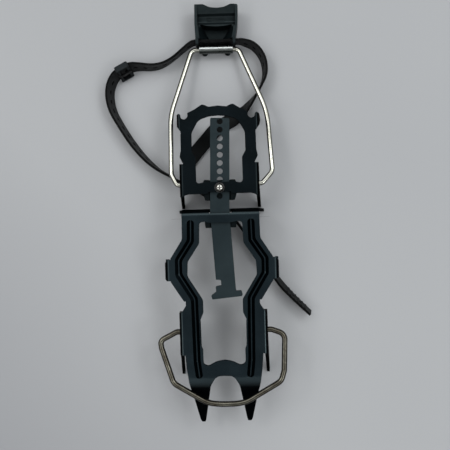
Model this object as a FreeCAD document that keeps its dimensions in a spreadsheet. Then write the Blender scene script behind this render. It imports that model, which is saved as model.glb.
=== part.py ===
import FreeCAD, Part
import Sketcher
import math
import os
from FreeCAD import Vector, Placement, Rotation

# A single twelve-point crampon with a flexible wire binding, pushed together for packing.
# Frame: +X to the wearer's right of the drawing, +Y towards the heel, +Z up.
# Origin: on the ground, below the rear edge of the front section, on the long axis.

os.makedirs("parts", exist_ok=True)
doc = FreeCAD.newDocument("crampon")

# ------------------------------------------------------------------ driving dimensions
# alias, value in mm or degrees
DIMS = [
    # both frame plates and their bends
    ("plate_top", 36.0), ("sheet_thick", 2.5), ("frame_width", 62.4),
    ("bend_radius", 6.0), ("mid_bend_radius", 8.0), ("ear_bend_radius", 4.0),
    ("rear_flange_face", 3.6), ("rear_flange_bend", 6.0),
    ("toe_bend_start", 136.0), ("toe_bend_angle", 25.0), ("front_tip", 171.6),
    ("rib_width", 5.8), ("rib_floor", 0.9), ("rib_depth", 2.0),
    ("rib_swell", 1.6), ("rib_back", 8.2),
    ("mid_flange_out", 45.9), ("toe_flange_out", 35.4),
    ("mid_flange_tilt", 1.5), ("toe_flange_tilt", 4.0),
    ("heel_flange_out", 32.0), ("heel_flange_tilt", 3.5),
    ("ear_flange_out", 33.0), ("ear_tilt", 4.0),
    # wire bails
    ("toe_bail_y", -95.6), ("toe_bail_z", 27.0), ("toe_wire", 4.5),
    ("toe_hole", 4.66), ("toe_bail_rise", 9.1),
    ("heel_bail_y", 23.6), ("heel_bail_z", 28.5), ("heel_wire", 4.0), ("heel_hole", 4.16),
    ("lever_axis_y", 138.6), ("lever_axis_z", 8.0),
    # link bar, its guides and the adjusting screw
    ("bar_width", 15.5), ("bar_thick", 2.5), ("bar_top", 33.2), ("bar_hole", 4.8),
    ("bar_pitch", 6.6667), ("bar_holes", 10), ("bar_skew", 1.65),
    ("guide_floor", 28.4), ("guide_sheet", 2.0), ("guide_half_gap", 8.6),
    ("screw_y", 20.4), ("screw_dia", 4.0), ("screw_clear", 4.16),
    ("screw_head", 7.0), ("screw_head_tall", 2.6),
    ("washer_out", 8.0), ("washer_thick", 0.8), ("nut_flats", 7.0), ("nut_tall", 3.2),
    # lever and strap
    ("lever_width", 36.4), ("knuckle_inner", 2.08), ("knuckle_sheet", 1.3), ("rivet_head", 4.4),
    ("strap_width", 12.0), ("strap_thick", 2.0), ("strap_lift", 0.15),
]
sheet = doc.addObject("Spreadsheet::Sheet", "dims")
for row, (alias, value) in enumerate(DIMS, 1):
    sheet.set("A%d" % row, alias)
    sheet.set("B%d" % row, str(value))
    sheet.setAlias("B%d" % row, alias)
doc.recompute()


def dim(alias):
    return float(getattr(sheet, alias))


PLATE_TOP = dim("plate_top")
SHEET = dim("sheet_thick")
PLATE_BOTTOM = PLATE_TOP - SHEET
SCREW_Y = dim("screw_y")
UP = Vector(0, 0, 1)

CUT_START = 60.0     # plan cuts start this high and go down
PLATE_CUT = 34.0     # deep enough for the plates, but it spares the spikes below
SIDE_REACH = 60.0    # cuts across the crampon start this far out on the -X side


# ------------------------------------------------------------------ outlines
# An outline is a list of corners (x, y[, radius]) in the sketch plane.
def direction(start, end):
    return (end - start).normalize()


def flat(points):
    """Corners as vectors, without their radii."""
    return [Vector(p[0], p[1], 0) for p in points]


def flipped(points):
    """The outline mirrored in x, running the other way."""
    return [(-p[0],) + tuple(p[1:]) for p in points[::-1]]


def both_sides(half):
    """Close a half outline, given on the +X side, with its mirror image."""
    return half + flipped([p for p in half if abs(p[0]) > 1e-9])


def rectangle(x0, y0, x1, y1):
    return [(x0, y0), (x1, y0), (x1, y1), (x0, y1)]


def round_corner(before, corner, after, radius):
    """Start and end of the rounding, and its (centre, radius, turns left) if there is a bend."""
    back, ahead = direction(corner, before), direction(corner, after)
    half_angle = math.acos(max(-1.0, min(1.0, back.dot(ahead)))) / 2
    if half_angle > math.radians(89.8):
        return corner, corner, None
    reach = radius / math.tan(half_angle)
    longest = 0.49 * min((before - corner).Length, (after - corner).Length)
    if reach > longest:
        reach = longest
        radius = reach * math.tan(half_angle)
    centre = corner + (back + ahead).normalize() * (radius / math.sin(half_angle))
    turns_left = back.cross(ahead).z < 0
    return corner + back * reach, corner + ahead * reach, (centre, radius, turns_left)


def corner_geometry(outline, closed):
    """Lines joined by tangent arcs, with the (first, last) vertex numbers of each."""
    points = flat(outline)
    count = len(points)
    corners = []
    for i, point in enumerate(points):
        radius = outline[i][2] if len(outline[i]) > 2 else 0.0
        if radius <= 0 or (not closed and i in (0, count - 1)):
            corners.append((point, point, None))
        else:
            corners.append(round_corner(points[i - 1], point, points[(i + 1) % count], radius))
    geometry, ends = [], []
    for i, (enter, leave, arc) in enumerate(corners):
        if arc:
            centre, radius, turns_left = arc
            first, last = (enter, leave) if turns_left else (leave, enter)
            start = math.atan2(first.y - centre.y, first.x - centre.x)
            stop = math.atan2(last.y - centre.y, last.x - centre.x)
            if stop <= start:
                stop += 2 * math.pi
            geometry.append(Part.ArcOfCircle(Part.Circle(centre, UP, radius), start, stop))
            ends.append((1, 2) if turns_left else (2, 1))
        if i < count - 1 or closed:
            following = corners[(i + 1) % count][0]
            if (following - leave).Length > 1e-6:
                geometry.append(Part.LineSegment(leave, following))
                ends.append((1, 2))
    return geometry, ends


def sheet_section(path):
    """Section of a bent sheet: the given face, and the one a thickness away on its left."""
    points = flat(path)
    headings = [direction(a, b) for a, b in zip(points, points[1:])]
    shifts = [Vector(-h.y, h.x, 0) * SHEET for h in headings]
    start = points[0] + shifts[0]
    other_face = [(start.x, start.y)]
    for i in range(1, len(points) - 1):
        before, after = headings[i - 1], headings[i]
        turn = before.cross(after).z
        start = points[i - 1] + shifts[i - 1]
        gap = points[i] + shifts[i] - start
        meet = start + before * (gap.cross(after).z / turn)
        radius = path[i][2] + (-SHEET if turn > 0 else SHEET)
        other_face.append((meet.x, meet.y, max(radius, 0.0)))
    end = points[-1] + shifts[-1]
    other_face.append((end.x, end.y))
    return path + other_face[::-1]


def band_outline(centre_line, width):
    """Closed outline of a band with round ends along an open corner path."""
    points = flat(centre_line)
    last = len(points) - 1

    def edge(side):
        corners = []
        for i, point in enumerate(points):
            before = direction(points[max(i - 1, 0)], points[max(i, 1)])
            after = direction(points[min(i, last - 1)], points[min(i + 1, last)])
            heading = (before + after).normalize()
            shift = side * width / 2 / heading.dot(before)
            radius = centre_line[i][2] if 0 < i < last else width * 0.47
            corners.append((point.x - heading.y * shift, point.y + heading.x * shift, radius))
        return corners

    return edge(1) + edge(-1)[::-1]


# ------------------------------------------------------------------ bodies, sketches, features
def new_body(label):
    body = doc.addObject("PartDesign::Body", label)
    body.Label = label
    return body


def plane_of(body, plane):
    return next(f for f in body.Origin.OriginFeatures if f.Role == plane + "_Plane")


def new_sketch(body, name, plane, offset=(0, 0, 0), turn=None):
    """Sketch on XY (normal +Z), YZ (normal +X) or XZ (normal -Y), moved by a local offset."""
    sketch = body.newObject("Sketcher::SketchObject", name)
    sketch.AttachmentSupport = [(plane_of(body, plane), "")]
    sketch.MapMode = "FlatFace"
    sketch.AttachmentOffset = Placement(Vector(*offset), turn or Rotation())
    return sketch


def add_outline(sketch, outline, closed=True):
    geometry, ends = corner_geometry(outline, closed)
    ids = list(sketch.addGeometry(geometry, False))
    count = len(ids)
    joints = []
    for k in range(count if closed else count - 1):
        j = (k + 1) % count
        joints.append(Sketcher.Constraint("Coincident", ids[k], ends[k][1], ids[j], ends[j][0]))
    sketch.addConstraint(joints)


def outline_sketch(body, name, plane, offset, *outlines, turn=None):
    sketch = new_sketch(body, name, plane, offset, turn)
    for outline in outlines:
        add_outline(sketch, outline)
    return sketch


def add_driven_circle(sketch, x, y, alias, name):
    """A circle whose diameter is bound to the sheet."""
    circle = sketch.addGeometry(Part.Circle(Vector(x, y, 0), UP, dim(alias) / 2), False)
    index = sketch.addConstraint(Sketcher.Constraint("Diameter", circle, dim(alias)))
    sketch.renameConstraint(index, name)
    sketch.setExpression("Constraints." + name, "dims." + alias)
    for place, kind, axis in ((x, "DistanceX", -2), (y, "DistanceY", -1)):
        if abs(place) > 1e-9:
            sketch.addConstraint(Sketcher.Constraint(kind, -1, 1, circle, 3, place))
        else:
            sketch.addConstraint(Sketcher.Constraint("PointOnObject", circle, 3, axis))


def add_circle(sketch, x, y, radius):
    sketch.addGeometry(Part.Circle(Vector(x, y, 0), UP, radius), False)


def line_chain(points):
    """Line segments through the points, in order."""
    vectors = flat(points)
    return [Part.LineSegment(a, b) for a, b in zip(vectors, vectors[1:])]


def extrude(body, kind, sketch, length, name, reverse):
    """Length is a number, or an expression on the sheet. Reversed means along a pocket's
    sketch normal, and against a pad's."""
    feature = body.newObject("PartDesign::" + kind, name)
    feature.Profile = sketch
    feature.Type = 0
    if isinstance(length, str):
        feature.Length = 1.0
        feature.setExpression("Length", length)
    else:
        feature.Length = length
    feature.Reversed = reverse
    doc.recompute()
    return feature


def pad(body, sketch, length, name, reverse=False):
    return extrude(body, "Pad", sketch, length, name, reverse)


def pocket(body, sketch, length, name, reverse=False):
    before = body.Shape.Volume
    feature = extrude(body, "Pocket", sketch, length, name, reverse)
    if not body.Shape.Volume < before - 0.05:
        raise RuntimeError("pocket cuts nothing: " + name)
    return feature


def plan_cut(body, sketch_name, name, depth, *outlines):
    """Cut the outlines straight down from above."""
    sketch = outline_sketch(body, sketch_name, "XY", (0, 0, CUT_START), *outlines)
    pocket(body, sketch, depth, name)


def mirror(body, features, name):
    """Repeat features on the -X side."""
    mirrored = body.newObject("PartDesign::Mirrored", name)
    mirrored.Originals = features
    mirrored.MirrorPlane = (plane_of(body, "YZ"), [""])
    body.Tip = mirrored
    doc.recompute()


def ruled_loft(body, kind, name, wide, narrow):
    """Additive or Subtractive loft between two level (outline, z) sections."""
    sections = [outline_sketch(body, name + suffix, "XY", (0, 0, z), outline)
                for suffix, (outline, z) in (("_wide", wide), ("_narrow", narrow))]
    doc.recompute()
    before = body.Shape.Volume
    loft = body.newObject("PartDesign::%sLoft" % kind, name)
    loft.Profile = sections[0]
    loft.Sections = [sections[1]]
    loft.Ruled = True
    doc.recompute()
    if abs(body.Shape.Volume - before) < 5.0:
        raise RuntimeError("loft does nothing: " + name)
    return loft


def cut_bail_holes(body, end):
    """Round holes for the toe or heel bail, through both side flanges."""
    sketch = new_sketch(body, end + "_bail_hole_outline", "YZ", (0, 0, -SIDE_REACH))
    add_driven_circle(sketch, dim(end + "_bail_y"), dim(end + "_bail_z"),
                      end + "_hole", "hole_dia")
    pocket(body, sketch, 2 * SIDE_REACH, end + "_bail_holes", reverse=True)


def cut_screw_hole(body, tag, depth):
    sketch = new_sketch(body, tag + "_hole_outline", "XY", (0, 0, CUT_START))
    add_driven_circle(sketch, 0.0, SCREW_Y, "screw_clear", "hole_dia")
    pocket(body, sketch, depth, tag + "_hole")


def bend_and_web(body, tag, y0, y1, inner, tilt, web, radius_alias="bend_radius"):
    """A side flange at +X: the bend down from the plate, then the flat web with its spike.

    The plate is met at x = inner. The web outline is (y, z[, radius]), seen from the side;
    the web leans outwards by tilt on its way down.
    """
    out = dim(tag + "_out")
    radius = dim(radius_alias)
    bend_end = PLATE_TOP - radius
    path = [(out, bend_end - 1.4), (out, PLATE_TOP, radius), (inner, PLATE_TOP)]
    sketch = outline_sketch(body, tag + "_bend_section", "XZ", (0, 0, -y1), sheet_section(path))
    bend = pad(body, sketch, y1 - y0, tag + "_bend")

    hinge_z = bend_end - 1.0
    highest = bend_end - 0.2
    stretch = math.cos(math.radians(tilt))
    outline = [(p[0], (min(p[1], highest) - hinge_z) / stretch) + tuple(p[2:]) for p in web]
    sketch = outline_sketch(body, tag + "_web_outline", "YZ", (0, hinge_z, out - SHEET), outline,
                            turn=Rotation(Vector(1, 0, 0), -tilt))
    return [bend, pad(body, sketch, "dims.sheet_thick", tag + "_web")]


# ------------------------------------------------------------------ front section
# Plan outlines (x, y[, radius]), +X half, from the front to the rear
FRONT_TIP_Y = -dim("front_tip")
FRONT_HALF = [
    (0.0, -130.4), (7.0, -130.7, 9.0), (11.7, -138.6, 9.0), (13.7, -150.5, 20.0),
    (16.9, -169.2, 1.2), (17.6, FRONT_TIP_Y, 0.9), (20.4, FRONT_TIP_Y, 0.9),
    (21.6, -168.9, 1.2), (25.4, -149.8, 12.0), (28.6, -136.4, 20.0), (30.2, -125.5, 20.0),
    (31.2, -113.2), (29.4, -113.2), (29.4, -73.2), (30.1, -73.2), (30.1, -71.6, 1.0),
    (41.0, -54.6, 1.0), (41.2, -53.5), (37.9, -53.5), (37.9, -36.4), (41.2, -36.4),
    (41.0, -35.4, 1.0), (31.4, -20.4, 6.0), (31.2, -3.9), (39.5, -3.9), (39.5, 9.0), (0.0, 9.0),
]
FRONT_WINDOW_HALF = [
    (0.0, -117.8), (6.0, -118.6, 20.0), (12.9, -122.2, 3.5), (16.9, -120.6, 3.0),
    (16.9, -109.2, 3.0), (19.0, -104.2, 3.0), (18.8, -86.2, 4.0), (15.9, -79.6, 4.0),
    (15.9, -69.4, 6.0), (27.9, -50.0, 5.0), (27.4, -38.6, 5.0), (17.8, -24.2, 5.0),
    (17.2, -7.2, 2.5), (13.2, -6.6, 1.5), (9.0, -7.6), (0.0, -7.6),
]
# Webs seen from the side (y, z[, radius])
MID_WEB = [
    (-36.4, 29.8), (-36.4, 24.0, 3.0), (-41.2, 0.0, 0.8), (-44.6, 0.0, 0.8),
    (-52.6, 23.0, 3.0), (-53.5, 29.8),
]
TOE_WEB = [
    (-79.2, 29.8), (-79.2, 22.6, 3.0), (-88.5, 19.6, 5.0), (-100.5, 19.2, 12.0),
    (-132.6, 1.2, 0.8), (-136.0, 2.6, 0.8), (-115.5, 27.5, 4.0), (-113.2, 29.8),
]
# Trims in plan (x, y[, radius]) at the ends of the side flanges, +X side
WING_TRIMS = [
    [(29.7, -70.0), (29.7, -73.4, 1.0), (33.2, -78.9, 1.6), (40.0, -80.4), (40.0, -70.0)],
    [(41.3, -34.0), (41.3, -36.0), (43.4, -36.5, 2.0), (45.4, -38.6, 2.0), (50.0, -41.5),
     (50.0, -34.0)],
    [(50.0, -50.0), (46.1, -51.6, 1.5), (44.2, -53.7), (44.2, -57.0), (50.0, -57.0)],
]
# Centre line of the rib on the +X arm (x, y[, radius])
RIB = [
    (24.2, -5.0), (24.6, -21.8, 5.0), (34.7, -37.0, 5.0), (34.6, -48.6, 5.0),
    (22.7, -68.4, 6.0), (22.4, -86.0, 20.0), (21.9, -118.0, 30.0), (20.3, -132.0),
]


def trim_pairs(outlines):
    """Each outline, followed by its mirror image."""
    return [side for outline in outlines for side in (outline, flipped(outline))]


def cut_rear_flange(body):
    """Slim band with a flared spike at each end, and the slot for the link bar in its bend."""
    behind = (0, 0, -9)
    half_width = dim("frame_width") / 2
    outside = [(half_width, 45), (half_width, 23, 3.0), (36.4, -1.0), (36.4, -6), (60, -6),
               (60, 45)]
    below = [(-33.6, -6), (-33.6, -1.0), (-23.5, 17.0, 4.0), (23.5, 17.0, 4.0), (33.6, -1.0),
             (33.6, -6)]
    sketch = outline_sketch(body, "rear_flange_trim", "XZ", behind,
                            outside, flipped(outside), below)
    pocket(body, sketch, 12.85, "rear_flange", reverse=True)
    for name, top, depth in (("bar_slot", 45, 9.1), ("bar_slot_relief", 33.7, 10.6)):
        slot = [(-9.4, 28.0, 1.2), (9.2, 28.0, 1.2), (9.2, top), (-9.4, top)]
        sketch = outline_sketch(body, name + "_outline", "XZ", behind, slot)
        pocket(body, sketch, depth, name, reverse=True)


def press_ribs(body):
    """Stiffening rib along each arm: swelling below, groove above."""
    swelling = ruled_loft(body, "Additive", "rib_swelling",
                          (band_outline(RIB, dim("rib_back")), PLATE_BOTTOM + 0.05),
                          (band_outline(RIB, 3.4), PLATE_BOTTOM - dim("rib_swell")))
    mirror(body, [swelling], "rib_swelling_mirrored")
    above = 0.1    # the groove is cut from this far above the plate, on the same flanks
    flank = (dim("rib_width") - dim("rib_floor")) / dim("rib_depth")
    mouth = dim("rib_width") + flank * above
    groove = ruled_loft(body, "Subtractive", "rib_groove",
                        (band_outline(RIB, mouth), PLATE_TOP + above),
                        (band_outline(RIB, dim("rib_floor")), PLATE_TOP - dim("rib_depth")))
    mirror(body, [groove], "rib_groove_mirrored")


def make_front_frame():
    body = new_body("front_frame")
    # the bent sheet, from the foot of the rear flange to just past the front points
    flange_y = dim("rear_flange_face")
    bend_y = dim("toe_bend_start")
    sheet_end = dim("front_tip") + 1.5
    drop = (sheet_end - bend_y) * math.tan(math.radians(dim("toe_bend_angle")))
    side = [(flange_y, 0.0), (flange_y, PLATE_TOP, dim("rear_flange_bend")),
            (-bend_y, PLATE_TOP, 26.0), (-sheet_end, PLATE_TOP - drop)]
    sketch = outline_sketch(body, "front_side_section", "YZ", (0, 0, -50), sheet_section(side))
    pad(body, sketch, 100.0, "front_sheet")
    plan_cut(body, "front_plan_trim", "front_plan", 70.0,
             rectangle(-62, -190, 62, 20), both_sides(FRONT_HALF))
    cut_rear_flange(body)
    flanges = bend_and_web(body, "mid_flange", -53.5, -36.4, 37.5, dim("mid_flange_tilt"),
                           MID_WEB, "mid_bend_radius")
    flanges += bend_and_web(body, "toe_flange", -113.2, -73.2, 29.0, dim("toe_flange_tilt"),
                            TOE_WEB)
    mirror(body, flanges, "side_flanges_mirrored")
    # the bent wings start along a slant, with their outer corners rounded
    plan_cut(body, "wing_trim", "wing_trims", PLATE_CUT, *trim_pairs(WING_TRIMS))
    plan_cut(body, "front_window_outline", "front_window", PLATE_CUT,
             both_sides(FRONT_WINDOW_HALF))
    press_ribs(body)
    cut_bail_holes(body, "toe")


# ------------------------------------------------------------------ heel section
# Plan outlines (x, y[, radius]), +X half, from the front to the rear
HEEL_HALF = [
    (0.0, 15.6), (26.0, 15.6), (26.0, 40.0), (28.6, 40.0), (31.3, 45.6, 2.0), (30.3, 50.5, 8.0),
    (30.1, 66.6), (29.0, 66.6), (29.0, 76.4), (26.5, 75.5, 2.6), (24.0, 77.6, 2.2),
    (24.3, 80.7, 0.8), (18.6, 83.4, 8.0), (12.6, 87.2, 1.2), (10.6, 86.9, 1.2),
    (7.2, 85.2, 3.0), (0.0, 86.1),
]
HEEL_WINDOW_HALF = [
    (0.0, 25.0), (12.5, 25.0, 2.0), (18.7, 23.6, 3.0), (18.6, 44.6, 3.0), (21.5, 49.6, 3.0),
    (21.4, 65.0, 7.0), (15.6, 75.2, 9.0), (7.0, 77.9, 12.0), (0.0, 78.4),
]
# Webs seen from the side (y, z[, radius])
HEEL_WEB = [
    (13.5, 29.8), (12.4, 22.0, 6.0), (4.6, 0.0, 0.8), (7.8, 0.0, 0.8), (20.0, 16.5, 6.0),
    (29.0, 20.0, 5.0), (36.5, 22.5, 5.0), (40.0, 29.8),
]
EAR_WEB = [
    (71.2, 31.6), (71.2, 24.0, 5.0), (78.4, 0.0, 0.8), (81.6, 0.0, 0.8), (81.8, 21.0, 6.0),
    (79.0, 31.6),
]
# Trims in plan (x, y[, radius]), +X side: round bite beside the ear, foot of the ear, and
# the front corner
HEEL_TRIMS = [
    [(24.4, 86.0), (24.3, 77.9, 1.6), (26.5, 75.2, 2.6), (29.5, 76.5, 2.2), (30.1, 79.7, 1.2),
     (31.5, 80.4, 0.9), (33.0, 79.4, 0.9), (33.6, 76.0, 1.0), (37.0, 76.0), (37.0, 86.0)],
    [(37.0, 64.0), (37.0, 74.0), (34.2, 72.0, 1.0), (30.35, 66.4, 1.0), (29.9, 64.0)],
    [(37.0, 11.0), (37.0, 13.4), (30.2, 13.7, 4.0), (27.4, 15.0, 3.0), (24.6, 15.7),
     (24.6, 11.0)],
]


def make_heel_frame():
    body = new_body("heel_frame")
    sketch = outline_sketch(body, "heel_plan_outline", "XY", (0, 0, PLATE_BOTTOM),
                            both_sides(HEEL_HALF))
    pad(body, sketch, "dims.sheet_thick", "heel_sheet")
    plan_cut(body, "heel_window_outline", "heel_window", PLATE_CUT, both_sides(HEEL_WINDOW_HALF))
    plan_cut(body, "heel_edge_relief", "heel_relief", PLATE_CUT,
             [(-9.6, 10), (-9.6, 17.1, 1.0), (9.6, 17.1, 1.0), (9.6, 10)])
    flanges = bend_and_web(body, "heel_flange", 13.0, 40.0, 25.4, dim("heel_flange_tilt"),
                           HEEL_WEB)
    flanges += bend_and_web(body, "ear_flange", 66.6, 80.6, 26.4, dim("ear_tilt"),
                            EAR_WEB, "ear_bend_radius")
    mirror(body, flanges, "heel_flanges_mirrored")
    plan_cut(body, "heel_trim", "heel_trims", PLATE_CUT, *trim_pairs(HEEL_TRIMS))
    cut_bail_holes(body, "heel")
    cut_screw_hole(body, "screw", PLATE_CUT)


# ------------------------------------------------------------------ link bar
def make_link_bar():
    """Perforated bar, slightly skewed, with a knee near the rear edge of the front section."""
    body = new_body("link_bar")
    half_width = dim("bar_width") / 2
    knee_y = 0.8
    rear_slope = math.tan(math.radians(dim("bar_skew")))
    front_slope = 0.0565

    def rear_centre(y):
        return (y - SCREW_Y) * rear_slope

    def front_centre(y):
        return rear_centre(knee_y) - (y - knee_y) * front_slope

    # clockwise from the rear -X corner, around the uneven foot at the front
    outline = [
        (rear_centre(76.5) - half_width, 76.9, 1.2), (rear_centre(76.5) + half_width, 76.3, 1.2),
        (rear_centre(knee_y) + half_width, 0.9, 8.0),
        (front_centre(-62.6) + half_width, -62.7, 0.8),
        (15.1, -62.6, 1.0), (16.1, -66.0, 0.8), (15.2, -67.3, 0.8), (-8.5, -69.4, 0.9),
        (-9.3, -66.1, 1.0), (-5.3, -63.3, 0.8), (-5.5, -58.9, 0.6), (-0.9, -58.1, 0.8),
        (-1.2, -53.9, 0.8),
        (front_centre(-53.6) - half_width, -53.6, 0.6),
        (rear_centre(knee_y) - half_width, 0.7, 8.0),
    ]
    bottom = dim("bar_top") - dim("bar_thick")
    sketch = outline_sketch(body, "bar_outline", "XY", (0, 0, bottom), outline)
    pad(body, sketch, "dims.bar_thick", "bar_blank")
    sketch = new_sketch(body, "bar_hole_outline", "XY", (0, SCREW_Y, CUT_START),
                        Rotation(UP, -dim("bar_skew")))
    add_driven_circle(sketch, 0.0, -dim("bar_pitch"), "bar_hole", "hole_dia")
    hole = pocket(body, sketch, PLATE_CUT, "bar_first_hole")
    pattern = body.newObject("PartDesign::LinearPattern", "bar_hole_row")
    pattern.Originals = [hole]
    pattern.Direction = (sketch, ["V_Axis"])
    pattern.Length = dim("bar_pitch") * (dim("bar_holes") - 1)
    pattern.setExpression("Length", "dims.bar_pitch * (dims.bar_holes - 1)")
    pattern.Occurrences = int(dim("bar_holes"))
    body.Tip = pattern
    doc.recompute()


# ------------------------------------------------------------------ bar guides
# Plan outlines (x, y[, radius])
FRONT_GUIDE_PLAN = [
    (-13.0, -1.4), (-12.8, -8.0, 1.0), (-12.2, -11.9, 0.8), (12.2, -11.9, 0.8),
    (12.8, -8.0, 1.0), (13.0, -1.4),
]
REAR_GUIDE_PLAN = [
    (-11.8, 10.2, 0.8), (11.8, 10.2, 0.8), (13.4, 15.0, 1.0), (13.4, 24.6, 1.0),
    (12.6, 27.0, 1.2), (-12.6, 27.0, 1.2), (-13.4, 24.6, 1.0), (-13.4, 15.0, 1.0),
]


def make_guide(label, y0, y1, brim, plan):
    """Folded channel under a cross member, with its brims against the plate."""
    body = new_body(label)
    inside = dim("guide_half_gap")
    thick = dim("guide_sheet")
    floor = dim("guide_floor")
    # right half of the section, up the outside and down the inside
    half = [(inside + thick, floor, 2.6), (inside + thick, PLATE_BOTTOM - thick, 0.0),
            (brim, PLATE_BOTTOM - thick), (brim, PLATE_BOTTOM), (inside, PLATE_BOTTOM),
            (inside, floor + thick, 0.6)]
    sketch = outline_sketch(body, label + "_section", "XZ", (0, 0, -y1), both_sides(half))
    pad(body, sketch, y1 - y0, label + "_channel")
    plan_cut(body, label + "_plan_trim", label + "_plan", CUT_START,
             rectangle(-40, y0 - 10, 40, y1 + 10), plan)
    return body


# ------------------------------------------------------------------ adjusting screw set
def make_adjuster_screw():
    """Domed screw with a cross recess, turned about Z and then set in place."""
    body = new_body("adjuster_screw")
    radius, head_radius = dim("screw_dia") / 2, dim("screw_head") / 2
    seat = PLATE_TOP + dim("washer_thick")
    crown = seat + dim("screw_head_tall")
    end, chamfer, head_rim = 24.2, 0.5, 0.7
    dome_tall = dim("screw_head_tall") - head_rim
    dome_radius = (head_radius ** 2 + dome_tall ** 2) / (2 * dome_tall)
    dome_centre = crown - dome_radius
    geometry = line_chain([(0, end), (radius - chamfer, end), (radius, end + chamfer),
                           (radius, seat), (head_radius, seat), (head_radius, seat + head_rim)])
    geometry.append(Part.ArcOfCircle(
        Part.Circle(Vector(0, dome_centre, 0), UP, dome_radius),
        math.atan2(seat + head_rim - dome_centre, head_radius), math.pi / 2))
    geometry += line_chain([(0, crown), (0, end)])
    sketch = new_sketch(body, "screw_half_section", "XZ")
    ids = list(sketch.addGeometry(geometry, False))
    count = len(ids)
    sketch.addConstraint([Sketcher.Constraint("Coincident", ids[k], 2, ids[(k + 1) % count], 1)
                          for k in range(count)])
    turned = body.newObject("PartDesign::Revolution", "screw_turned")
    turned.Profile = sketch
    turned.ReferenceAxis = (sketch, ["V_Axis"])
    turned.Angle = 360.0
    doc.recompute()
    arm, side = 2.3, 0.45
    cross = [(-arm, -side), (-side, -side), (-side, -arm), (side, -arm), (side, -side),
             (arm, -side), (arm, side), (side, side), (side, arm), (-side, arm), (-side, side),
             (-arm, side)]
    sketch = outline_sketch(body, "screw_cross_recess", "XY", (0, 0, crown + 1), cross)
    pocket(body, sketch, 2.4, "screw_recess")
    body.Placement = Placement(Vector(0, SCREW_Y, 0), Rotation())


def make_adjuster_washer():
    disc = doc.addObject("Part::Cylinder", "washer_disc")
    disc.setExpression("Radius", "dims.washer_out / 2")
    disc.setExpression("Height", "dims.washer_thick")
    bore = doc.addObject("Part::Cylinder", "washer_bore")
    bore.setExpression("Radius", "dims.screw_clear / 2")
    bore.Height = 3.0
    bore.Placement = Placement(Vector(0, 0, -1), Rotation())
    washer = doc.addObject("Part::Cut", "adjuster_washer")
    washer.Base, washer.Tool = disc, bore
    washer.Placement = Placement(Vector(0, SCREW_Y, PLATE_TOP), Rotation())


def make_adjuster_nut():
    body = new_body("adjuster_nut")
    corner = dim("nut_flats") / 2 / math.cos(math.pi / 6)
    angles = [math.radians(60 * k) for k in range(6)]
    hexagon = [(corner * math.cos(angle), corner * math.sin(angle)) for angle in angles]
    sketch = outline_sketch(body, "nut_outline", "XY", (0, 0, 0), hexagon)
    pad(body, sketch, "dims.nut_tall", "nut_hexagon")
    sketch = new_sketch(body, "nut_bore_outline", "XY", (0, 0, 10))
    add_driven_circle(sketch, 0.0, 0.0, "screw_clear", "bore_dia")
    pocket(body, sketch, 20.0, "nut_bore")
    body.Placement = Placement(Vector(0, SCREW_Y, dim("guide_floor") - dim("nut_tall")),
                               Rotation())


# ------------------------------------------------------------------ wire bails
def make_bail(end, corners, slope, head_extra):
    """A round wire bent in one plane, with turned-in ends headed inside the flanges.

    Corners are (x, y[, radius]) in plan, from the -X end to the +X end. The plane drops by
    slope degrees towards the heel. The heads are head_extra larger in radius than the wire.
    """
    label = end + "_bail"
    wire_alias = end + "_wire"
    y0, z0 = dim(label + "_y"), dim(label + "_z")
    body = new_body(label)
    stretch = math.cos(math.radians(slope))
    path = new_sketch(body, label + "_path", "XY", (0, y0, z0),
                      Rotation(Vector(1, 0, 0), -slope))
    in_plane = [(c[0], (c[1] - y0) / stretch) + tuple(c[2:]) for c in corners]
    add_outline(path, in_plane, closed=False)
    section = new_sketch(body, label + "_section", "YZ", (y0, z0, corners[0][0]))
    add_driven_circle(section, 0.0, 0.0, wire_alias, "wire_dia")
    doc.recompute()
    wire = body.newObject("PartDesign::AdditivePipe", label + "_wire")
    wire.Profile = section
    wire.Spine = path
    doc.recompute()
    for suffix, x, head, reverse in (("", corners[0][0], "_left_head", False),
                                     ("_2", corners[-1][0], "_right_head", True)):
        sketch = new_sketch(body, label + "_head_outline" + suffix, "YZ", (y0, z0, x))
        add_circle(sketch, 0.0, 0.0, dim(wire_alias) / 2 + head_extra)
        pad(body, sketch, 1.3, label + head, reverse=reverse)


def make_toe_bail():
    y = dim("toe_bail_y")
    corners = [
        (-30.6, y), (-38.6, y, 4.5), (-51.8, -102.2, 6.5), (-51.0, -108.0, 10.0),
        (-41.4, -135.9, 9.0), (-14.0, -151.8, 26.0), (-2.0, -152.9, 60.0), (10.0, -152.8, 40.0),
        (17.5, -151.2, 30.0), (45.2, -136.3, 8.0), (47.8, -128.0, 9.0), (49.4, -99.6, 6.5),
        (38.6, y, 4.5), (30.6, y),
    ]
    make_bail("toe", corners, dim("toe_bail_rise"), 0.9)


def make_heel_bail():
    """Its rear run is the axis of the heel lever."""
    y, axis_y = dim("heel_bail_y"), dim("lever_axis_y")
    corners = [
        (-27.4, y), (-34.6, y, 3.6), (-39.3, 32.6, 8.0), (-39.5, 82.6, 55.0),
        (-21.2, axis_y, 6.0), (18.2, axis_y, 5.6), (40.4, 84.1, 70.0), (43.2, 33.2, 8.0),
        (34.6, y, 3.6), (27.4, y),
    ]
    fall = math.degrees(math.atan2(dim("heel_bail_z") - dim("lever_axis_z"), axis_y - y))
    make_bail("heel", corners, fall, 0.8)


# ------------------------------------------------------------------ heel lever
RIVET_XS, RIVET_Y = (-4.7, 3.3), 153.0
RIVET_HOLE_RADIUS = 1.25
TONGUE_X0, TONGUE_X1 = -7.6, 6.2    # sides of the hinge plate's tongue
TONGUE_GAP = 0.2

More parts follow.
